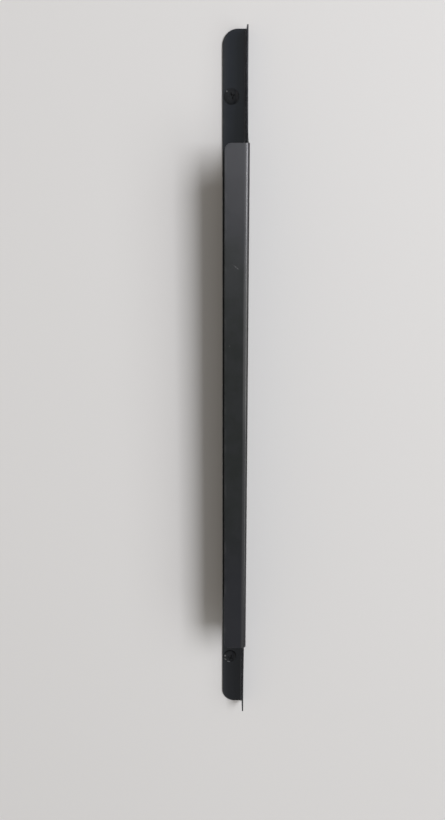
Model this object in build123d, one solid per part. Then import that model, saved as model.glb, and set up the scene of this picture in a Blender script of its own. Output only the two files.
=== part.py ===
from build123d import *
import os

# Cabinet handle: an edge pull folded from one strip of sheet steel, with its two screws.
# Sizes are in millimetres. The handle runs along Z. The door's face is the plane y = 0, and
# the handle stands out of it towards -Y. The origin is midway between the two screw holes.

# Folded strip
handle_length = 500.0
pull_depth = 39.0        # from the door to the lip's front face
flange_width = 16.0      # across the flange, to the web's outer face
lip_width = 16.0         # across the lip, to the web's outer face
sheet = 1.0
bend_inside = 1.4        # inside radius of both folds
edge_round = 0.2         # cut edges, softened by grinding and the coat

# Ends, where the web is low and the lip is cut away
end_run = 72.0           # from the handle's end to the lip's end
end_depth = 15.0         # height of the low web above the door
slope_run = 44.0         # shallow slope of the web's edge, measured from the lip's end
slope_rise = 5.0
slope_blend = 80.0       # radius that eases the low edge into the slope
web_fillet = 12.0        # radius between the slope and the lip's end
flange_corner = 10.0
lip_corner = 4.5

# Screws
hole_inset = 41.0        # hole centre to the handle's end
hole_edge = 6.0          # hole centre to the flange's free edge
hole_clearance = 0.25    # all round the thread
thread_diameter = 4.0
neck_diameter = 3.2      # plain stretch under the head
neck_past_sheet = 0.5    # how far the neck runs on behind the flange
screw_length = 16.0      # under the head, point included
point_length = 5.5
head_diameter = 10.0
head_height = 2.4
head_rim = 0.7           # straight side below the dome
rim_round = 0.3
recess_span = 4.6        # across two opposite wings of the cross
recess_wing = 1.2        # width of a wing
recess_depth = 1.8
recess_floor = 2.0       # across two opposite wings at the recess's floor
screw_turns = (20.0, -28.0)   # how far each cross is turned, upper then lower

# Places that follow from the sizes
half_length = handle_length / 2
half_lip = half_length - end_run
hole_z = half_length - hole_inset
web_x = flange_width - hole_edge      # outer face of the web
flange_x = -hole_edge                 # free edge of the flange
lip_x = web_x - lip_width             # free edge of the lip
free_x = min(flange_x, lip_x)
fold = sheet + bend_inside            # outside radius of both folds


def folded_section():
    """The strip's section in X and Y: a channel of even thickness with round folds."""
    width = web_x - free_x
    outside = Pos(web_x - width / 2, -pull_depth / 2) * Rectangle(width, pull_depth)
    outside = fillet(outside.vertices().group_by(Axis.X)[-1], fold)
    gap = pull_depth - 2 * sheet
    inside = Pos(web_x - sheet - width / 2, -pull_depth / 2) * Rectangle(width, gap)
    inside = fillet(inside.vertices().group_by(Axis.X)[-1], bend_inside)
    return outside - inside


def web_outline():
    """The web from the side, in Y and Z: low ends, shallow slopes, fillets and full depth."""
    slope_top = -end_depth - slope_rise
    half = [
        (-pull_depth, half_lip),
        (slope_top, half_lip),
        (-end_depth, half_lip + slope_run),
        (-end_depth, half_length),
        (0, half_length),
    ]
    face = Polygon(*half, *[(y, -z) for y, z in reversed(half)], align=None)
    eased = [v for v in face.vertices() if abs(abs(v.Y) - half_lip - slope_run) < 1e-6]
    face = fillet(eased, slope_blend)
    at_lip_end = [v for v in face.vertices() if abs(abs(v.Y) - half_lip) < 1e-6]
    inner = [v for v in at_lip_end if abs(v.X - slope_top) < 1e-6]
    return fillet(inner, web_fillet)


def leg_plan(edge_x, half, corner):
    """A leg from the front, in X and Z: a strip up to the web, its two free corners round."""
    face = Pos((edge_x + web_x) / 2, 0) * Rectangle(web_x - edge_x, 2 * half)
    return fillet(face.vertices().group_by(Axis.X)[0], corner)


def cut_edges(solid):
    """Every edge of the cut outline: not the fold lines, nor the short ones across the sheet."""
    def on_fold_line(edge):
        at = edge.center()
        places = (at.X - web_x + fold, at.Y + fold, at.Y + pull_depth - fold)
        return min(abs(place) for place in places) < 1e-6
    return [e for e in solid.edges() if e.length > 1.5 * sheet and not on_fold_line(e)]


def folded_handle():
    """Flange, web and lip: the folded section, cut to the outline of each of its faces."""
    strip = extrude(folded_section(), half_length, both=True)
    side = extrude(Plane.YZ * web_outline(), 2 * flange_width + 2 * lip_width, both=True)
    lip_layer = Plane.XZ.offset(pull_depth - fold)
    front = extrude(Plane.XZ * leg_plan(flange_x, half_length, flange_corner), pull_depth - fold)
    front += extrude(lip_layer * leg_plan(lip_x, half_lip, lip_corner), fold)
    body = strip & side & front
    body = fillet(cut_edges(body), edge_round)
    for z in (hole_z, -hole_z):
        hole = Cylinder(thread_diameter / 2 + hole_clearance, 4 * sheet, rotation=(90, 0, 0))
        body -= Pos(0, 0, z) * hole
    return body


def cross_recess():
    """Two tapered wings at right angles, cut down from the top of the head's dome."""
    mouth = Pos(0, 0, head_height) * Rectangle(recess_span, recess_wing)
    floor = Pos(0, 0, head_height - recess_depth) * Rectangle(recess_floor, recess_wing * 0.8)
    wing = loft([mouth, floor])
    return wing + Rot(0, 0, 90) * wing


def screw():
    """One screw, upright: its head sits on z = 0, with its point below."""
    thread_top = -sheet - neck_past_sheet
    neck = neck_diameter / 2
    thread = thread_diameter / 2
    rim = head_diameter / 2
    dome = head_height - head_rim
    dome_radius = (rim ** 2 + dome ** 2) / (2 * dome)
    profile = [
        Polyline(
            (0, head_height), (0, -screw_length), (thread, point_length - screw_length),
            (thread, thread_top), (neck, thread_top), (neck, 0), (rim, 0), (rim, head_rim),
        ),
        RadiusArc((rim, head_rim), (0, head_height), -dome_radius),
    ]
    body = revolve(Plane.XZ * make_face(profile), Axis.Z)
    rims = [e for e in body.edges() if e.geom_type == GeomType.CIRCLE and abs(e.radius - rim) < 1e-6]
    body = fillet([e for e in rims if e.center().Z > 0.1], rim_round)
    return body - cross_recess()


def mounting_screws():
    """Both screws, driven home: the heads on the flange and the threads behind it."""
    places = zip((hole_z, -hole_z), screw_turns)
    upright = screw()
    return Compound([Pos(0, -sheet, z) * Rot(90, 0, 0) * Rot(0, 0, turn) * upright for z, turn in places])


os.makedirs("parts", exist_ok=True)
export_step(folded_handle(), "parts/folded_handle.step")
export_step(mounting_screws(), "parts/mounting_screws.step")
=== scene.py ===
# %% [markdown]
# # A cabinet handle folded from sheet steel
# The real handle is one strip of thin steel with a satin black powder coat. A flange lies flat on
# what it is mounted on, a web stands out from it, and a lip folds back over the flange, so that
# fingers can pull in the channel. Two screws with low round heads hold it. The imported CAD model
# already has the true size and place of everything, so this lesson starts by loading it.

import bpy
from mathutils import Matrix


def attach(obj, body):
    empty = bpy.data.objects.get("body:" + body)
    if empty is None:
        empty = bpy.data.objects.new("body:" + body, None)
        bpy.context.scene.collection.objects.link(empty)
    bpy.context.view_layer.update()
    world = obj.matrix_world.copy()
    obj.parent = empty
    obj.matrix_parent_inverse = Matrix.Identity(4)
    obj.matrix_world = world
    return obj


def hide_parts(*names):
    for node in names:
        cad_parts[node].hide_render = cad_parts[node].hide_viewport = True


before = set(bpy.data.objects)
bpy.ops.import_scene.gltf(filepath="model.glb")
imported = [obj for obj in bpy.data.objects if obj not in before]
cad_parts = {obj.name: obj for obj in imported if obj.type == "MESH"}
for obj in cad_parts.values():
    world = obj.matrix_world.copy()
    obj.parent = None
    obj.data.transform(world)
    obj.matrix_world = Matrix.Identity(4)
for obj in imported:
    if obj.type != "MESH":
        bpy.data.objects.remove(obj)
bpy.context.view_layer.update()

# %% [markdown]
# ## Values that everything shares
# The numbers below are the same ones that drive the CAD source, in millimetres, because those
# are easy to compare with a ruler. Points become metres only when they are put in a mesh.

# %% Shared values
import math

import bmesh
import bpy
import numpy as np

MM = 0.001
half_length = 250.0      # the handle runs along Z, from -250 to 250
pull_depth = 39.0        # from the flange's back out to the lip's front
web_x = 10.0             # outer face of the web
free_x = -6.0            # free edges of the flange and of the lip
sheet = 1.0
bend_inside = 1.4
fold = sheet + bend_inside
edge_round = 0.2         # the cut edge is softened by deburring and by the coat
print("strip:", 2 * half_length, "long,", pull_depth, "deep, sheet", sheet)

# %% [markdown]
# ## How the strip is folded
# A press brake bends flat sheet over a straight tool. Inside the sheet lies a line that is
# neither stretched nor squeezed, and walking along it leads from a place on the flat blank to a
# place on the folded part. So the whole handle needs only one function, which takes the distance
# across the blank and the depth inside the sheet. Anything drawn on the flat blank, such as a
# round corner or a hole, is then folded by the same call.

# %% The fold
mid_radius = bend_inside + sheet / 2
quarter = math.pi / 2 * mid_radius
leg = web_x - free_x - fold                  # flat part of the flange, and of the lip
web_run = pull_depth - 2 * fold              # flat part of the web
fold_1 = leg, leg + quarter                  # where the first fold starts and ends
fold_2 = fold_1[1] + web_run, fold_1[1] + web_run + quarter
blank_width = fold_2[1] + leg


def folded(across, depth, along):
    """Places on the folded strip, as an array whose last axis is X, Y, Z.

    across is the distance over the blank from the flange's free edge, depth the height above
    the middle of the sheet, positive on the outside of the channel, and along is Z. The strip
    heads along +X, turns a quarter at each fold, and ends up heading along -X. The turn so far
    is the distance walked inside the folds over their radius. The middle line adds up the
    straight runs and the arcs, and depth moves a point along the normal (sin turn, cos turn).
    """
    across, depth, along = np.broadcast_arrays(across, depth, along)
    turn_1 = np.clip((across - fold_1[0]) / mid_radius, 0, math.pi / 2)
    turn_2 = np.clip((across - fold_2[0]) / mid_radius, 0, math.pi / 2)
    flange = np.minimum(across, fold_1[0])
    web = np.clip(across - fold_1[1], 0, web_run)
    lip = np.maximum(across - fold_2[1], 0)
    x = free_x + flange + mid_radius * (np.sin(turn_1) + np.cos(turn_2) - 1) - lip
    y = -sheet / 2 - mid_radius * (1 - np.cos(turn_1) + np.sin(turn_2)) - web
    turn = turn_1 + turn_2
    return np.stack([x + depth * np.sin(turn), y + depth * np.cos(turn), along], axis=-1)


print("blank", round(blank_width, 2), "wide, folds start at", round(fold_1[0], 2), "and",
      round(fold_2[0], 2))

# %% [markdown]
# ## The cut outline of the blank
# A laser cuts the blank before it is bent. One side is the flange's free edge, straight with a
# large round corner at each end. The other side is the web's edge: low at the ends, then a
# shallow slope, then a round fillet that runs up to the end of the lip. Each side is a function
# of Z, so a row of the grid knows where it starts and ends. The flat faces stop a little inside
# the cut, where the rounding of the edge begins, and every circle's radius allows for that.

# %% Outline functions
half_lip, end_depth = 178.0, 15.0            # half the lip's length, and the low web's height
slope_run, slope_rise, slope_blend = 44.0, 5.0, 80.0
web_fillet, flange_corner, lip_corner = 12.0, 10.0, 4.5
tilt = math.atan2(slope_rise, slope_run)
rise_start = half_lip + slope_run + slope_blend * math.tan(tilt / 2)   # the low edge ends here
rise_end = rise_start - (slope_blend + edge_round) * math.sin(tilt)
fillet_z = half_lip + web_fillet                                       # the fillet's centre
fillet_h = (end_depth + (slope_run - web_fillet) * slope_rise / slope_run
            + web_fillet / math.cos(tilt))
fillet_end = fillet_z - (web_fillet + edge_round) * math.sin(tilt)


def across_at(height):
    """Distance across the blank of a point on the web at this height above the flange's back."""
    return fold_1[1] + height - fold


def round_end(z, half, corner):
    """How far a free edge draws back near its round end: the radius less the circle's chord."""
    reach = np.clip(np.abs(z) - (half - corner), 0, corner - edge_round)
    return corner - np.sqrt((corner - edge_round) ** 2 - reach ** 2)


def web_edge(z):
    """Height of the web's flat face at Z: the low line, an arc, the slope, the fillet's circle."""
    z = np.abs(z)
    low = np.full_like(z, end_depth - edge_round)
    arc_drop = (slope_blend + edge_round) ** 2 - np.clip(rise_start - z, 0, slope_blend) ** 2
    arc = end_depth + slope_blend - np.sqrt(arc_drop)
    slope = (end_depth + (half_lip + slope_run - z) * slope_rise / slope_run
             - edge_round / math.cos(tilt))
    fillet_drop = (web_fillet + edge_round) ** 2 - (z - fillet_z) ** 2
    fillet = fillet_h - np.sqrt(np.clip(fillet_drop, 0, None))
    return np.select([z >= rise_start, z >= rise_end, z >= fillet_end], [low, arc, slope], fillet)


for z in (240.0, 217.0, 197.0, 185.0):       # a place on each stretch of the edge
    print("web's face ends at z", z, "at a height of", round(float(web_edge(np.array(z))), 2))

# %% [markdown]
# ## Rows of the grid
# A grid is fine only where the shape turns. On a round corner the rows are spaced by angle, as
# divisions on a dial would be, and a few rows are enough where the strip is straight. Nine rows
# meet each screw hole, so that a square of the grid can be lifted out there and refilled with a
# patch that goes from a square to a circle.

# %% Row places
hole_z, hole_edge, hole_radius = 209.0, 6.0, 2.25
patch_half, patch_steps = 4.5, 8             # half the square round a hole, and its steps a side
dial = np.linspace(0, math.pi / 2, 15)


def steps(start, stop, count):
    """Evenly spaced places, the start left out because the run before it ends there."""
    return np.linspace(start, stop, count + 1)[1:]


lip_top = half_lip - edge_round
lip_rows = np.concatenate([
    np.linspace(0, half_lip - lip_corner, 33),
    half_lip - lip_corner + (lip_corner - edge_round) * np.sin(dial[1:]),
])
end_rows = np.concatenate([
    fillet_z - (web_fillet + edge_round) * np.cos(steps(0, math.pi / 2 - tilt, len(dial) - 1)),
    steps(fillet_end, hole_z - patch_half, 4),
    steps(hole_z - patch_half, hole_z + patch_half, patch_steps),
    steps(hole_z + patch_half, rise_end, 1),
    steps(rise_end, rise_start, 6),
    steps(rise_start, half_length - flange_corner, 4),
    half_length - flange_corner + (flange_corner - edge_round) * np.sin(dial[1:]),
])
rows = np.concatenate([lip_rows, end_rows])
rows = np.concatenate([-rows[:0:-1], rows])
lip_rows = np.concatenate([-lip_rows[:0:-1], lip_rows])
first_lip_row = len(end_rows)
print(len(rows), "rows in all,", len(lip_rows), "of them beside the lip")

# %% [markdown]
# ## Columns of the grid
# Columns follow the fold lines, with eight of them round each fold, so the bends come out round
# and the flat faces stay flat. The first grid covers the flange and the foot of the web, and a
# second one carries on from it where the web is tall, over the second fold and across the lip.

# %% Column places
fold_columns, hole_column = 8, 1             # columns round a fold, and before a hole's square
tolerance = 1e-9


def piecewise(runs, counts):
    """Columns of a grid: each run goes evenly from one edge line to the next.

    runs are the edge lines, each an array with one value for every row, and counts says how
    many columns lie between each line and the next. The result has a row for each Z.
    """
    parts = [runs[0][:, None]]
    for left, right, count in zip(runs, runs[1:], counts):
        parts.append(left[:, None] + (right - left)[:, None] * steps(0, 1, count))
    return np.concatenate(parts, axis=1)


same = np.ones_like(rows)
seam = across_at(fillet_h)                   # where the second grid takes over
flange_edge = round_end(rows, half_length, flange_corner)
patch_left, patch_right = (
    flange_edge + (fold_1[0] - flange_edge) * (line - edge_round) / (fold_1[0] - edge_round)
    for line in (hole_edge - patch_half, hole_edge + patch_half))
web_end = np.where(np.abs(rows) <= lip_top + tolerance, seam, across_at(web_edge(rows)))
foot_lines = [flange_edge, patch_left, patch_right, fold_1[0] * same, fold_1[1] * same, web_end]
foot = piecewise(foot_lines, [hole_column, patch_steps, 2, fold_columns, 6])
lip_edge = blank_width - round_end(lip_rows, half_lip, lip_corner)
flat = np.ones_like(lip_rows)
upper_lines = [seam * flat, fold_2[0] * flat, fold_2[1] * flat, lip_edge]
upper = piecewise(upper_lines, [3, fold_columns, 8])
foot = np.stack([foot, np.broadcast_to(rows[:, None], foot.shape)], axis=-1)
upper = np.stack([upper, np.broadcast_to(lip_rows[:, None], upper.shape)], axis=-1)
print("grids on the blank:", foot.shape[:2], "and", upper.shape[:2])

# %% [markdown]
# ## From grids to a closed mesh
# A mesh piece is gathered as patches. Each patch is an array of places with rows and columns, and
# its faces follow from counting. Where two patches meet, their points are the same numbers, so
# merging equal points closes the piece without a gap. Each point also carries three marks, which
# the coat will use later: its place across the blank, how far out in the sheet it is, from 0 on
# the inside of the channel to 1 on the outside, and whether it is on a cut edge.

# %% The mesh maker
merged_within, speck = 0.0005, 0.0001        # millimetres, far below any real detail


class Patches:
    """Patches of one piece: places in millimetres, with the marks that go with each point."""

    def __init__(self):
        self.places, self.marks, self.faces, self.count = [], [], [], 0

    def add(self, places, marks, keep=None):
        """Adds one patch. Face (i, j) joins points (i, j), (i+1, j), (i+1, j+1) and (i, j+1)."""
        high, wide = places.shape[:2]
        number = self.count + np.arange(high * wide).reshape(high, wide)
        corners = [number[:-1, :-1], number[1:, :-1], number[1:, 1:], number[:-1, 1:]]
        faces = np.stack(corners, axis=-1)
        faces = faces[keep] if keep is not None else faces.reshape(-1, 4)
        self.places.append(places.reshape(-1, 3))
        self.marks.append(np.broadcast_to(marks, (high, wide, 3)).reshape(-1, 3))
        self.faces.append(faces)
        self.count += high * wide

    def mesh_object(self, name):
        """Makes the Blender object: equal points merged, faces outward, shaded smooth."""
        mesh = bpy.data.meshes.new(name)
        places, faces = np.concatenate(self.places) * MM, np.concatenate(self.faces)
        mesh.from_pydata(places.tolist(), [], faces.tolist())
        marks = mesh.attributes.new("marks", "FLOAT_VECTOR", "POINT")
        marks.data.foreach_set("vector", np.concatenate(self.marks).ravel())
        shell = bmesh.new()
        shell.from_mesh(mesh)
        bmesh.ops.remove_doubles(shell, verts=shell.verts, dist=merged_within * MM)
        bmesh.ops.dissolve_degenerate(shell, edges=shell.edges, dist=speck * MM)
        bmesh.ops.recalc_face_normals(shell, faces=shell.faces)
        open_edges = sum(len(edge.link_faces) != 2 for edge in shell.edges)
        volume = shell.calc_volume(signed=True) / MM ** 3
        shell.to_mesh(mesh)
        shell.free()
        mesh.shade_smooth()
        piece = bpy.data.objects.new(name, mesh)
        bpy.context.scene.collection.objects.link(piece)
        print(name, "points", len(mesh.vertices), "faces", len(mesh.polygons),
              "open edges", open_edges, "volume", round(volume, 1), "cubic mm")
        return piece


# %% [markdown]
# ## The rounded edge
# A laser's cut is not left knife sharp: deburring and the powder coat make it round. Here that
# rounding is one small profile carried along the outline: a quarter circle, the sheet's
# thickness, and a quarter circle back. It is carried on the flat blank, before folding, so the
# same function serves the outer cut and the rims of the screw holes.

# %% The carried profile
round_steps = np.linspace(0, math.pi / 2, 5)
profile_out = edge_round * np.concatenate([np.sin(round_steps), np.sin(round_steps[::-1])])
profile_depth = sheet / 2 - edge_round + edge_round * np.cos(round_steps)
profile_depth = np.concatenate([profile_depth, -profile_depth[::-1]])


def closed(loop):
    """The loop with its first point repeated at its end."""
    return np.concatenate([loop, loop[:1]])


def rim(loop):
    """The edge profile carried round a closed loop on the blank.

    At each point the two neighbouring runs give two normals, and the profile steps out along
    their sum over one plus their dot product, which keeps its width round any corner.
    """
    run = np.roll(loop, -1, axis=0) - loop
    run /= np.linalg.norm(run, axis=1, keepdims=True)
    normal = np.stack([run[:, 1], -run[:, 0]], axis=1)
    before = np.roll(normal, 1, axis=0)
    outward = (normal + before) / (1 + (normal * before).sum(axis=1, keepdims=True))
    flat = closed(loop)[:, None] + closed(outward)[:, None] * profile_out[None, :, None]
    return flat, np.broadcast_to(profile_depth, flat.shape[:2])


# %% [markdown]
# ## The strip itself
# Two skins, each half a sheet from the middle, come from the same two grids. Each screw hole is
# a patch between a circle and the square that was left open for it: a point of the patch is a
# share of the way from the circle to the point of the square at the same angle. Last, the edge
# profile runs once round the whole outline and once round each hole.

# %% Build the folded strip
def on_strip(flat, depth, edge=0.0):
    """Folded places and marks of points on the blank. The second mark is the depth, 0 to 1."""
    places = folded(flat[..., 0], depth, flat[..., 1])
    marks = np.stack(np.broadcast_arrays(flat[..., 0], depth / sheet + 0.5, edge), axis=-1)
    return places, marks


def hole_patch(row):
    """Circle and patch for the hole whose square of the foot grid starts at this row."""
    block = foot[row:row + patch_steps + 1, hole_column:hole_column + patch_steps + 1]
    square = np.concatenate([block[0, :-1], block[:-1, -1], block[-1, :0:-1], block[:0:-1, 0]])
    centre = np.array([hole_edge, block[patch_steps // 2, 0, 1]])
    spoke = square - centre
    length = np.linalg.norm(spoke, axis=1, keepdims=True)
    circle = centre + (hole_radius + edge_round) * spoke / length
    share = np.linspace(0, 1, 5)[:, None, None]
    return circle, (1 - share) * closed(circle) + share * closed(square)


low, high = first_lip_row, len(rows) - 1 - first_lip_row       # first and last row by the lip
outline = np.concatenate([
    foot[::-1, 0], foot[0, 1:-1], foot[:low, -1], upper[0, :-1], upper[:, -1],
    upper[-1, -2:0:-1], foot[high:, -1], foot[-1, -2:0:-1],
])
hole_rows = [int(np.argmin(np.abs(rows - z + patch_half))) for z in (-hole_z, hole_z)]
solid = np.ones((foot.shape[0] - 1, foot.shape[1] - 1), bool)
strip = Patches()
patches = [hole_patch(row) for row in hole_rows]
for row in hole_rows:
    solid[row:row + patch_steps, hole_column:hole_column + patch_steps] = False
for depth in (sheet / 2, -sheet / 2):
    strip.add(*on_strip(foot, depth), keep=solid)
    strip.add(*on_strip(upper, depth))
    for _, patch in patches:
        strip.add(*on_strip(patch, depth))
for loop in [outline] + [circle[::-1] for circle, _ in patches]:      # a hole runs the other way
    flat_rim, depths = rim(loop)
    strip.add(*on_strip(flat_rim, depths, edge=1.0))
handle = strip.mesh_object("coated_strip")

# %% [markdown]
# ## The screws
# Each screw is a wood screw with a wide low round head and a cross recess. A header machine
# strikes the head and the recess in cold wire, and flat dies roll the thread. The recess is the
# hard part of the head, so its outline comes first, as a closed loop of points, and everything
# round it takes its count of points from there.

# %% Outlines of the head
head_radius, head_height, head_rim, rim_round = 5.0, 2.4, 0.7, 0.3
recess_span, recess_wing, recess_depth, recess_floor = 4.6, 1.2, 1.8, 2.0
floor_wing = 0.96                            # the wings narrow towards the recess's floor
neck_radius, neck_end, core_radius = 1.6, 1.5, 1.35
dome_rise = head_height - head_rim
dome_radius = (head_radius ** 2 + dome_rise ** 2) / (2 * dome_rise)


def cross(half_span, half_wing):
    """A cross in the plane as a closed loop of 96 points, found by turning one eighth of it.

    The eighth goes up half of a wing's end in four points, then in along its side in nine.
    Its mirror image in the diagonal makes a quarter, and four quarter turns make the cross.
    """
    up = np.stack([np.full(4, half_span), np.linspace(0, half_wing, 4, endpoint=False)], axis=1)
    along = np.stack([np.linspace(half_span, half_wing, 9), np.full(9, half_wing)], axis=1)
    eighth = np.concatenate([up, along])
    corner = np.concatenate([eighth, eighth[-2:0:-1, ::-1]])
    turned = [corner @ np.array([[math.cos(a), math.sin(a)], [-math.sin(a), math.cos(a)]])
              for a in (0, math.pi / 2, math.pi, 3 * math.pi / 2)]
    return np.concatenate(turned)


mouth = cross(recess_span / 2, recess_wing / 2)
floor_cross = cross(recess_floor / 2, floor_wing / 2)
spokes = mouth / np.linalg.norm(mouth, axis=1, keepdims=True)


def dome(radius):
    """Height of the dome at a distance from the axis, on its circle of one radius."""
    return head_height - dome_radius + np.sqrt(dome_radius ** 2 - radius ** 2)


print("cross points", len(mouth), "dome height at the mouth",
      round(float(dome(recess_span / 2)), 3))

# %% [markdown]
# ## From a cross to a dome
# A cross could be cut out of a finished dome, but a cut leaves long thin faces that shade badly.
# So the head is a stack of loops with the same number of points: the cross at the recess's
# floor, the cross at its mouth, then circles. A loop is a share of the way from one outline to
# the next, so the straight sided cross melts into the round dome without a seam.

# %% The head as a stack of loops
def lifted(loop, height):
    """A flat loop at a height, which may be one number or one for each point."""
    return np.concatenate([loop, np.broadcast_to(height, len(loop))[:, None]], axis=1)


def on_dome(loop, drop=0.0):
    """A flat loop lifted to the dome, or to a drop below it."""
    return lifted(loop, dome(np.linalg.norm(loop, axis=1)) - drop)


floor_height = head_height - recess_depth
opened = 1 + 0.05 * np.array([0.0, 0.3, 1.0])              # the mouth's edge, rolled a little open
mouth_loops = [on_dome(mouth * grow, drop) for grow, drop in zip(opened, (0.14, 0.04, 0.0))]
wall_foot = lifted(floor_cross, floor_height)
wall_loops = [wall_foot * (1 - share) + mouth_loops[0] * share for share in (0.0, 0.05, 0.5, 0.95)]
centre_shares, centre_dip = (0.0, 0.5, 0.95), 0.15
centre_loops = [
    lifted(floor_cross * share, floor_height - centre_dip * (1 - share))
    for share in centre_shares]
dome_end = head_radius - 0.25                              # here the dome turns into the rim
dome_loops = [
    on_dome(mouth * opened[-1] * (1 - share) + spokes * dome_end * share)
    for share in steps(0, 1, 12)]
turn_over = steps(0, 1, 6)[:, None]
shoulder = np.array([dome_end, float(dome(dome_end))])
corner_point = np.array([head_radius, head_rim])
side = np.array([head_radius, head_rim - rim_round])
rolled = ((1 - turn_over) ** 2 * shoulder + turn_over ** 2 * side
          + 2 * turn_over * (1 - turn_over) * corner_point)
under_bevel, neck_bevel = 0.1, 0.2
below = np.array([
    [head_radius, under_bevel], [head_radius - under_bevel, 0.0], [neck_radius + neck_bevel, 0.0],
    [neck_radius, -neck_bevel], [neck_radius, -neck_end], [core_radius, -neck_end]])
circles = [lifted(spokes * radius, height) for radius, height in np.concatenate([rolled, below])]
head = np.stack(centre_loops + wall_loops + mouth_loops + dome_loops + circles)
print("head loops", head.shape[0], "of", head.shape[1], "points")

# %% [markdown]
# ## The rolled thread
# A thread is a height that depends on two things, the angle round the axis and the distance
# along it. If the rows of the grid run round the screw, its crest crosses them and comes out as
# a row of steps. So the rows climb with the helix instead: a row's height is its own height plus
# the pitch times the turn, and every crest point lies on one row. A right-handed screw climbs
# as the angle grows. The core thins to a point, and the crest fades out under the head.

# %% The thread as one climbing grid
pitch, rows_per_turn = 1.8, 14
crest_radius, crest_half = 2.0, 0.21         # half the crest's width, as a share of the pitch
screw_length, point_length = 16.0, 5.5


def thread_grid():
    """Places of the threaded part. Radius is the core plus the crest's share, times the taper.

    The crest is a hat over less than half of each pitch, 1 at its middle and 0 at its feet. The
    taper is the distance from the tip over the point's length, at most 1. Heights are held
    between the tip and the neck, so the climbing rows end in a flat ring and in one point.
    """
    angle = np.arctan2(spokes[:, 1], spokes[:, 0]) % (2 * math.pi)
    angle = np.concatenate([angle, [2 * math.pi]])
    count = int((screw_length - neck_end) / pitch * rows_per_turn) + 2 * rows_per_turn
    row = np.arange(count)[:, None]
    height = -neck_end + pitch * (angle / (2 * math.pi) - row / rows_per_turn)
    height = np.clip(height, -screw_length, -neck_end)
    phase = (row % rows_per_turn) / rows_per_turn
    hat = np.clip(1 - np.abs(phase - 0.5) / crest_half, 0, 1)
    fade = np.clip((-neck_end - height) / pitch, 0, 1) * np.ones_like(hat)
    taper = np.clip((height + screw_length) / point_length, 0, 1)
    radius = (core_radius + (crest_radius - core_radius) * hat * fade) * taper
    return np.stack([radius * np.cos(angle), radius * np.sin(angle), height], axis=-1)


thread = thread_grid()
print("thread rows", thread.shape[0], "of", thread.shape[1], "points, widest",
      round(2 * float(np.hypot(thread[..., 0], thread[..., 1]).max()), 3), "mm")

# %% [markdown]
# ## Driving the screws home
# The same screw goes into both holes. A screw made upright is turned about its own axis to the
# angle where the real one stopped, laid over so that its head faces the front, and moved to its
# hole. As its marks, each point keeps its place on the upright screw, by which the finish will
# find the cross. Both screws share one mesh, as they share one node in the CAD model.

# %% Build both screws
screw_turns = (20.0, -28.0)                  # of the upper screw's cross, then the lower one's


def driven(places, z, turn):
    """Turns an upright screw about its axis, then takes its X, Y, up to X, Z and the front."""
    a = math.radians(turn)
    x = places[..., 0] * math.cos(a) - places[..., 1] * math.sin(a)
    up = places[..., 0] * math.sin(a) + places[..., 1] * math.cos(a)
    return np.stack([x, -sheet - places[..., 2], z + up], axis=-1)


screws = Patches()
for z, turn in zip((hole_z, -hole_z), screw_turns):
    ring = np.concatenate([head, head[:, :1]], axis=1)
    screws.add(driven(ring, z, turn), ring)
    screws.add(driven(thread, z, turn), thread)
screw_pair = screws.mesh_object("round_head_screws")

# %% [markdown]
# ## Arithmetic on sockets
# A finish is easier to read as a formula than as a web of nodes. This small class wraps one
# output socket, so that sums and products of wires and numbers add the Math nodes themselves.

# %% Wires
class Wire:
    """One output socket on a bench. The operators add Math nodes and give back new wires."""

    def __init__(self, bench, socket):
        self.bench, self.socket = bench, socket

    def maths(self, operation, *values):
        """A Math node's output, from its operation and the one or two values that it takes."""
        return self.bench.add("ShaderNodeMath", {"operation": operation}, dict(enumerate(values)))

    def __add__(self, other): return self.maths("ADD", self, other)
    def __sub__(self, other): return self.maths("SUBTRACT", self, other)
    def __mul__(self, other): return self.maths("MULTIPLY", self, other)
    def __truediv__(self, other): return self.maths("DIVIDE", self, other)
    def __pow__(self, other): return self.maths("POWER", self, other)
    def __rsub__(self, other): return self.maths("SUBTRACT", other, self)
    def __rtruediv__(self, other): return self.maths("DIVIDE", other, self)
    def __abs__(self): return self.maths("ABSOLUTE", self)
    __radd__, __rmul__ = __add__, __mul__

    def between(self, start, stop):
        """Goes smoothly from 0 to 1 as this wire goes from start to stop."""
        return self.bench.add("ShaderNodeMapRange", {"interpolation_type": "SMOOTHSTEP"}, {
            "Value": self, "From Min": start, "From Max": stop})

    def band(self, start, full, fading, end):
        """1 where this wire lies from full to fading, and 0 before start and past end."""
        return self.between(start, full) * self.between(end, fading)


print("wires are ready")

# %% [markdown]
# ## A bench for each finish
# A bench holds one material's tree, or the world's. Its add method takes a node's type, its
# settings, and what goes into its sockets, and gives back its output as a wire. The short
# methods after it are for the nodes that the finishes use most.

# %% Benches
def pick(sockets, name):
    """One of the sockets in use, by its name or by its number."""
    usable = [socket for socket in sockets if socket.enabled]
    return usable[name] if isinstance(name, int) else next(s for s in usable if s.name == name)


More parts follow.
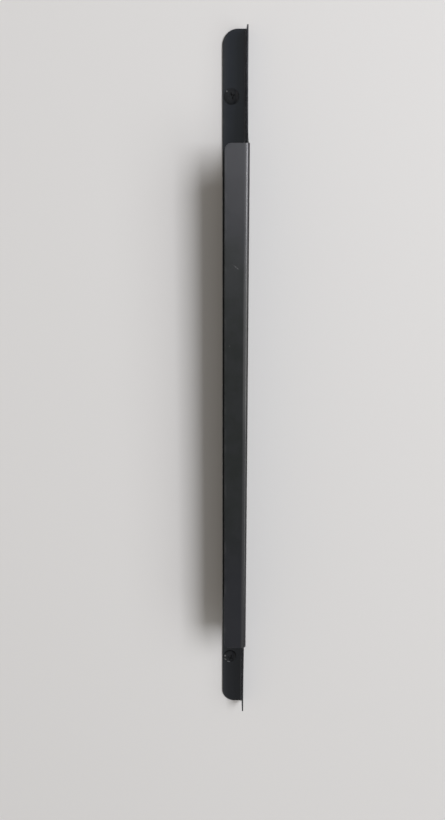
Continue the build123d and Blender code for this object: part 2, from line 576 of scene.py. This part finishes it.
class Bench:
    """One node tree, for a material or for the world, and the one method that adds its nodes."""

    def __init__(self, owner):
        owner.use_nodes = True
        self.owner, self.tree = owner, owner.node_tree
        self.tree.nodes.clear()

    def add(self, kind, settings=None, inputs=None, output=0):
        """Adds a node: settings first, then a value or wire for each named or numbered socket."""
        node = self.tree.nodes.new(kind)
        for name, value in (settings or {}).items():
            setattr(node, name, value)
        for name, value in (inputs or {}).items():
            socket = pick(node.inputs, name)
            if isinstance(value, Wire):
                self.tree.links.new(value.socket, socket)
            else:
                socket.default_value = value
        return Wire(self, pick(node.outputs, output)) if node.outputs else None

    def part(self, vector, axis):
        """One part of a vector, X, Y or Z."""
        return self.add("ShaderNodeSeparateXYZ", None, {0: vector}, axis)

    def mix(self, share, first, second):
        """A colour that is a share of the way from the first to the second."""
        return self.add("ShaderNodeMix", {"data_type": "RGBA"}, {
            "Factor": share, "A": first, "B": second}, "Result")

    def layers(self, ground, *layers):
        """A ground colour under further ones, each with the mask that says where it lies."""
        for mask, over in layers:
            ground = self.mix(mask, ground, over)
        return ground

    def noise(self, place, scale, detail, roughness=0.5):
        """Cloudy values about one half, with this many clouds to the metre."""
        return self.add("ShaderNodeTexNoise", None, {
            "Vector": place, "Scale": scale, "Detail": detail, "Roughness": roughness}, "Fac")


def colour(r, g, b):
    """An opaque colour, in the form that a colour socket takes."""
    return (r, g, b, 1.0)


print("benches are ready")

# %% [markdown]
# ## The satin black coat
# A powder coat is sprayed on dry and baked. One flat black would look like plastic, because the
# real coat varies at four sizes: a fine grain, the orange peel of the baked powder well under a
# millimetre across, smears of about a centimetre, and clouds of a few centimetres. Each is a
# noise on Object coordinates, so it keeps its size on every face. The marks that each point
# carries say how far across the strip it is and on which side of the sheet.

# %% Places and noises on the coat
coat_bench = Bench(bpy.data.materials.new("satin_black_coat"))
place = coat_bench.add("ShaderNodeTexCoord", output="Object")
marks = coat_bench.add("ShaderNodeAttribute", {"attribute_name": "marks"}, output="Vector")
across, outside, edge = (coat_bench.part(marks, axis) for axis in "XYZ")
sideways, along = (coat_bench.part(place, axis) / MM for axis in "XZ")
finest, widest = 5200.0, 26.0                              # clouds to the metre
grain = coat_bench.noise(place, finest, 1.0)
peel = coat_bench.noise(place, 1500.0, 2.0)
smears = coat_bench.noise(place, 95.0, 3.0, 0.6)
clouds = coat_bench.noise(place, widest, 4.0, 0.6)
print("noises from", round(1 / (finest * MM), 2), "to", round(1 / (widest * MM), 1), "mm across")

# %% [markdown]
# ## Marks of use, and painted light in the inner fold
# Fingers rub the outer fold bright, cut edges wear, and the lip has a short scratch and a nick.
# A pale bluish tone is painted in the inner fold and on the foot of the web above it, painted
# light that lifts the shade there. Each of them is a mask with a formula, a band across the
# blank or a distance from a line, so it stays where it belongs when a size changes.

# %% Marks of use and painted light
def scuff(start, stop, half_width):
    """A faint straight scratch on the lip between two places, given as X and Z in millimetres.

    With u the unit vector along the scratch, t = (p - start) . u runs from 0 to its length, and
    d = |(p - start) x u| is the distance to its line. The mask is 1 on the line and 0 beyond
    the half width and beyond both ends, and exists only on the outside of the sheet.
    """
    run = np.subtract(stop, start)
    length = float(np.hypot(*run))
    u, w = (run / length).tolist()
    x, z = sideways - start[0], along - start[1]
    t, d = x * u + z * w, abs(x * w - z * u)
    ends = t.band(-0.1, length * 0.6, length - 0.4, length + 0.1)
    return outside * d.between(half_width, 0.0) * ends


scratch_start, scratch_stop, scratch_half = (-1.1, 103.4), (3.5, 99.6), 0.45
nick_start, nick_stop, nick_half = (-2.9, 49.5), (-2.3, 49.4), 0.5
scratch = scuff(scratch_start, scratch_stop, scratch_half) * peel.between(0.35, 0.6)
scuffs = scratch + scuff(nick_start, nick_stop, nick_half)
worn = edge * smears.between(0.4, 0.65)
rub_start, rub_end = fold_2[0] + 1.5, fold_2[1] + 1.6      # across the blank, at the outer fold
rubbed = outside * across.band(rub_start, rub_start + 0.8, rub_end - 1.7, rub_end)
fold_light_start, fold_light_end = fold_1[0] + 0.2, fold_1[1] + 14.0   # at the inner fold and up the web
# painted light: a pale bluish tone in the inner fold and on the foot of the web, lifting its shade
inner_fold_painted_light = (1 - outside) * across.band(fold_light_start, fold_light_start + 1.6, fold_light_end - 6.0, fold_light_end)
print("rubbed over", round(rub_end - rub_start, 2), "mm, dusty over",
      round(fold_light_end - fold_light_start, 2), "mm of the blank")

# %% [markdown]
# ## Colours of the coat
# The spray reaches the inside of a channel less well, so there the coat is blacker. Towards the
# flange's free edge it is painted paler, painted light where the lamp reaches past the web, and
# it is bluer at the upper end than at the lower. Down the outside it is faintly mottled, and a
# painted reflection tint runs along the lip: a little greener in the middle, bluer and paler at
# the lip's ends. The fold is rubbed most above the lip's middle, where a hand takes hold. The
# colours are laid over each other as coats of paint are, each through its mask.

# %% Colours of the coat
# a band of painted light: the flange is painted paler towards its free edge, where the lamp
# reaches past the web
painted_light_band = 5.0                                            # the paler band's width on the flange
patchy, mottled = clouds.between(0.3, 0.7), smears.between(0.35, 0.65)
handled = along.band(-25.0, 15.0, 85.0, 125.0)             # where a hand takes hold
# a painted reflection tint along the lip: greener in its middle, paler and bluer at its ends
painted_tint_middle = along.band(-125.0, -65.0, 105.0, 130.0)          # the lip's middle
painted_sheen_ends = along.between(150.0, 162.0) + along.between(-90.0, -165.0) * 0.6     # its two ends
inner_tone = coat_bench.layers(
    colour(0.0070, 0.0080, 0.0105),
    (patchy, colour(0.0090, 0.0100, 0.0125)),
    (along.between(150.0, 200.0), colour(0.0062, 0.0081, 0.0130)),
    (along.between(-150.0, -200.0), colour(0.0068, 0.0068, 0.0083)))
outer_tone = coat_bench.layers(
    colour(0.0064, 0.0066, 0.0087),
    (patchy, colour(0.0084, 0.0086, 0.0107)),
    # painted reflection tint: greener in the lip's middle, paler at its ends
    (painted_tint_middle, colour(0.0063, 0.0076, 0.0059)),
    (painted_sheen_ends, colour(0.0150, 0.0152, 0.0185)),
    (mottled * 0.35, colour(0.0150, 0.0152, 0.0178)))
rubbed_tone = coat_bench.mix(handled, colour(0.080, 0.080, 0.081), colour(0.125, 0.125, 0.123))
tone = coat_bench.layers(
    inner_tone,
    (outside, outer_tone),
    # painted light: paler towards the flange's free edge
    ((1 - outside) * across.between(painted_light_band, 0.0), colour(0.015, 0.016, 0.018)),
    # painted light in the inner fold
    (inner_fold_painted_light, colour(0.085, 0.094, 0.112)),
    (rubbed, rubbed_tone),
    (worn * 0.35, colour(0.06, 0.06, 0.062)),
    (scuffs, colour(0.12, 0.12, 0.12)))
print("nodes that make the coat's colour:", len(coat_bench.tree.nodes))

# %% [markdown]
# ## Sheen of the coat
# The thin coat follows the fine lengthwise grain of the rolled steel below it. As on brushed
# metal, the grain spreads a reflection sideways and leaves it sharp along the handle, so the
# tall lamp's reflection fades down the lip while each short stretch has one even brightness.
# The shader's own anisotropy does that. The coat is smoother inside the channel and where it is
# rubbed, and the peel and the grain go into a bump.

# %% The coat's sheen
smooth_inside, satin_outside = 0.028, 0.245                # roughness before wear and mottling
roughness = smooth_inside + outside * (satin_outside - smooth_inside)
roughness = roughness - rubbed * 0.09 + clouds * 0.07 + smears * 0.09
relief_depth = 0.03                                        # of the orange peel, in millimetres
relief = coat_bench.add("ShaderNodeBump", None, {
    "Strength": 0.3, "Distance": relief_depth * MM, "Height": peel + grain * 0.5})
coat = coat_bench.add("ShaderNodeBsdfPrincipled", None, {
    "Base Color": tone, "Metallic": rubbed * 0.7, "Roughness": roughness,
    "Normal": relief, "Anisotropic": 0.85})
coat_bench.add("ShaderNodeOutputMaterial", None, {"Surface": coat})
handle.data.materials.append(coat_bench.owner)
print("coat nodes:", len(coat_bench.tree.nodes))

# %% [markdown]
# ## Painted light on the screws
# The cross recess is painted a shade paler, painted light that lifts the shade inside it. The
# side of each head by the web is painted paler too, painted light where the web shades it. The
# cross is found as the points that lie below the dome and near its axis, so its mask fits the
# recess however far the screw is turned.

# %% Masks on the screws
screw_bench = Bench(bpy.data.materials.new("black_screw_finish"))
screw_place = screw_bench.add("ShaderNodeTexCoord", output="Object")
own_place = screw_bench.add("ShaderNodeAttribute", {"attribute_name": "marks"}, output="Vector")
own_x, own_y, own_height = (screw_bench.part(own_place, axis) for axis in "XYZ")
at_x, at_z = (screw_bench.part(screw_place, axis) / MM for axis in "XZ")
flecks = screw_bench.noise(screw_place, 900.0, 3.0)
dents = screw_bench.noise(screw_place, 2600.0, 2.0)
from_axis = (own_x * own_x + own_y * own_y) ** 0.5
dome_here = head_height - from_axis * from_axis / (2 * dome_radius)
on_head = own_height.between(-0.1, 0.3)
cross_reach = recess_span / 2
# painted light: the cross recess is painted paler to lift the shade inside it
recess_painted_light = from_axis.between(cross_reach + 0.2, cross_reach)
recess_painted_light = recess_painted_light * (dome_here - own_height).between(0.08, 0.3) * on_head
# painted light: the side of each head by the web is painted paler, where the web shades it
web_side_painted_light = at_x.between(2.2, 4.4) * on_head
print("the cross reaches", cross_reach, "mm from a screw's axis")

# %% [markdown]
# ## The black finish of the screws
# The screws are blackened in a bath and stay matt, so they give no glint of a lamp, and only
# their shape shows. A few pale spots are painted on the rims as glints. Each is a small round
# spot at a known place, broken up by a fine noise so that it isn't a neat disc.

# %% Screw material
def glint_spot(x, z, reach):
    """A painted glint of this reach round a place given as X and Z, all in millimetres."""
    gap_x, gap_z = at_x - x, at_z - z
    return ((gap_x * gap_x + gap_z * gap_z) ** 0.5).between(reach, reach * 0.4)


# painted glints: pale spots on the rims where they glint
glint_places = [                               # one on the upper head, the others on the lower
    (-3.2, hole_z + 3.1, 0.6),
    (-3.9, -hole_z + 1.2, 0.95), (-3.8, -hole_z - 2.0, 1.1),
    (-1.7, -hole_z - 4.0, 0.85), (-0.6, -hole_z - 4.3, 0.85)]
painted_glints = sum(glint_spot(*spot) for spot in glint_places) * flecks.between(0.34, 0.48) * on_head
screw_tone = screw_bench.layers(
    colour(0.022, 0.024, 0.026),
    (flecks.between(0.35, 0.7), colour(0.026, 0.028, 0.031)),
    # painted light on the head's side by the web
    (web_side_painted_light, colour(0.085, 0.088, 0.093)),
    # painted light in the cross recess
    (recess_painted_light, colour(0.034, 0.036, 0.038)),
    # painted glints on the rims
    (painted_glints, colour(0.23, 0.235, 0.245)))
screw_relief = screw_bench.add("ShaderNodeBump", None, {
    "Strength": 0.25, "Distance": relief_depth * MM, "Height": dents + flecks * 0.6})
blackened = screw_bench.add("ShaderNodeBsdfPrincipled", None, {
    "Base Color": screw_tone, "Roughness": 0.55 + flecks * 0.1,
    "Specular IOR Level": 0.12, "Normal": screw_relief})
screw_bench.add("ShaderNodeOutputMaterial", None, {"Surface": blackened})
screw_pair.data.materials.append(screw_bench.owner)
print("screw nodes:", len(screw_bench.tree.nodes))

# %% [markdown]
# ## Hand the pieces to the body
# Both pieces ride on the one body and stand for the CAD nodes that they refine. The weighted
# normal modifier lets the large flat faces set the shading beside a fold or a rounded edge.

# %% Ride and replace
pairs = (handle, "folded_handle", "black_coat"), (screw_pair, "mounting_screws", "black_screw")
for piece, node, slot_name in pairs:
    finish = piece.modifiers.new("flat_faces_stay_flat", "WEIGHTED_NORMAL")
    finish.mode, finish.weight, finish.keep_sharp = "FACE_AREA", 50, False
    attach(piece, "root")
    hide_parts(node)
print("replaced both CAD nodes")

# %% [markdown]
# ## The mounting face as a backdrop
# The handle needs the face that it is fixed to, or it would cast no shadow. A pale satin panel
# stands just behind the flange. It is left open where the flange covers it, so that light still
# reaches the back of the strip. The opening is the flange's own outline drawn in a little, and
# the panel is the ring between it and the same outline stretched until it is out of sight.

# %% Panel
panel_gap, drawn_in, panel_half = 0.05, 0.4, 2500.0        # millimetres
slot_z = rows * (1 - drawn_in / half_length)
slot_left = free_x + flange_edge + drawn_in
slot_right = np.full_like(slot_z, web_x - fold - drawn_in / 2)
slot_sides = np.stack([slot_left, slot_z], axis=1), np.stack([slot_right, slot_z], axis=1)
slot = np.concatenate([slot_sides[0], slot_sides[1][::-1]])
slot_middle = (slot.min(axis=0) + slot.max(axis=0)) / 2
stretched = (slot - slot_middle) * panel_half / (slot.max(axis=0) - slot_middle)
ring = np.concatenate([slot, stretched])
corners = np.stack([ring[:, 0], np.full(len(ring), panel_gap), ring[:, 1]], axis=1) * MM
inner = np.arange(len(slot))
after = np.roll(inner, -1)
squares = np.stack([inner, after, after + len(slot), inner + len(slot)], axis=1)
panel_mesh = bpy.data.meshes.new("mounting_face")
panel_mesh.from_pydata(corners.tolist(), [], squares.tolist())
panel = bpy.data.objects.new("mounting_face", panel_mesh)
bpy.context.scene.collection.objects.link(panel)
print("panel normal", tuple(round(v, 2) for v in panel_mesh.polygons[0].normal))

# %% [markdown]
# ## Seeing through the panel from behind
# The panel is a plain pale satin. Where the camera sees its back, a clear shader takes the
# satin's place, so a view from behind looks through it to the handle. Light from the lamps
# still falls on both of its sides.

# %% The panel's finish
panel_bench = Bench(bpy.data.materials.new("pale_panel"))
skin = panel_bench.add("ShaderNodeBsdfPrincipled", None, {
    "Base Color": colour(0.69, 0.69, 0.675), "Roughness": 0.55, "Specular IOR Level": 0.3})
clear = panel_bench.add("ShaderNodeBsdfTransparent")
behind = panel_bench.add("ShaderNodeNewGeometry", output="Backfacing")
seen = panel_bench.add("ShaderNodeLightPath", output="Is Camera Ray")
surface = panel_bench.add("ShaderNodeMixShader", None, {0: behind * seen, 1: skin, 2: clear})
panel_bench.add("ShaderNodeOutputMaterial", None, {"Surface": surface})
panel_mesh.materials.append(panel_bench.owner)
print("panel nodes:", len(panel_bench.tree.nodes))

# %% [markdown]
# ## Light
# A tall lamp high on the right makes the main shadow, and its reflection is the sheen that fades
# down the lip. A wider and dimmer one beside it softens the far side of the shadow and draws the
# thin bright line on the fold. A lamp behind the panel lights the back alone.

# %% Lamps
from mathutils import Matrix, Vector


def lamp(name, towards, distance, wide, high, power, tint=(1.0, 1.0, 1.0)):
    """A soft rectangular lamp, its sizes in metres and its power in watts, facing the handle."""
    data = bpy.data.lights.new(name, "AREA")
    data.color = tint
    data.shape, data.size, data.size_y, data.energy = "RECTANGLE", wide, high, power
    light = bpy.data.objects.new(name, data)
    bpy.context.scene.collection.objects.link(light)
    light.location = Vector(towards).normalized() * distance
    light.rotation_euler = light.location.to_track_quat("Z", "Y").to_euler()
    print(name, "at", tuple(round(v, 2) for v in light.location))


lamp("tall_lamp", (0.57, -1.0, 0.345), distance=4.0, wide=1.5, high=2.7, power=118.0,
     tint=(0.95, 0.95, 1.0))
lamp("side_glow", (1.2, -1.0, 0.0), distance=4.0, wide=1.85, high=4.6, power=43.0)
lamp("back_lamp", (-0.4, 1.0, 0.3), distance=3.0, wide=2.0, high=2.0, power=50.0)

# %% [markdown]
# ## The surroundings
# A black handle shows mostly what it reflects, so the world counts as much as the lamps. It is
# pale and cool behind the camera, warm on the left, and dim on the right. The warm side only
# lights what it falls on, and reflections see it cool, so that the black stays neutral. Camera
# rays see an even pale background in its place, and so do reflections towards the back.

# %% World
world = bpy.data.worlds.new("surroundings")
bpy.context.scene.world = world
around = Bench(world)
direction = around.add("ShaderNodeTexCoord", output="Generated")
to_right, up, behind_panel = (around.part(direction, axis) for axis in "XZY")
camera_ray, glossy_ray, through_ray = (
    around.add("ShaderNodeLightPath", output=name)
    for name in ("Is Camera Ray", "Is Glossy Ray", "Is Transmission Ray"))
pale_side = (0.0, -0.977, -0.21)
facing = around.add("ShaderNodeVectorMath", {"operation": "DOT_PRODUCT"}, {
    0: direction, 1: pale_side}, "Value")
warm_side = around.mix(glossy_ray, colour(0.315, 0.265, 0.215), colour(0.24, 0.25, 0.265))
sides = around.mix(to_right.between(0.3, 0.75), warm_side, colour(0.14, 0.135, 0.13))
ahead = around.mix(up.between(-0.1, 0.15), colour(0.385, 0.41, 0.44), colour(0.51, 0.55, 0.59))
sees_plain = camera_ray + (glossy_ray + through_ray) * behind_panel.between(0.0, 0.05)
sky = around.layers(
    sides,
    (facing.between(0.78, 0.93), ahead),
    (sees_plain, colour(0.64, 0.635, 0.625)))
background = around.add("ShaderNodeBackground", None, {"Color": sky})
around.add("ShaderNodeOutputWorld", None, {"Surface": background})
print("world nodes:", len(around.tree.nodes))

# %% [markdown]
# ## The camera
# The camera stands a little to the left of the handle and above its middle, about half a metre
# away, and looks slightly down. These numbers were fitted to the edges in the photograph.

# %% Camera
camera_place = Vector((-25.3, -557.5, 148.3)) * MM
pitch_down, turn_right = math.radians(15.40), math.radians(1.99)
level = math.cos(pitch_down)
forward = Vector((
    math.sin(turn_right) * level, math.cos(turn_right) * level, -math.sin(pitch_down)))
sensor, focal_pixels, picture_pixels = 36.0, 791.0, 820.0
camera_data = bpy.data.cameras.new("camera")
camera_data.sensor_width, camera_data.lens = sensor, sensor * focal_pixels / picture_pixels
camera = bpy.data.objects.new("camera", camera_data)
bpy.context.scene.collection.objects.link(camera)
camera.matrix_world = Matrix.LocRotScale(camera_place, forward.to_track_quat("-Z", "Y"), None)
bpy.context.scene.camera = camera
bpy.context.scene.view_settings.view_transform = "Standard"
print("lens", round(camera_data.lens, 2), "mm")
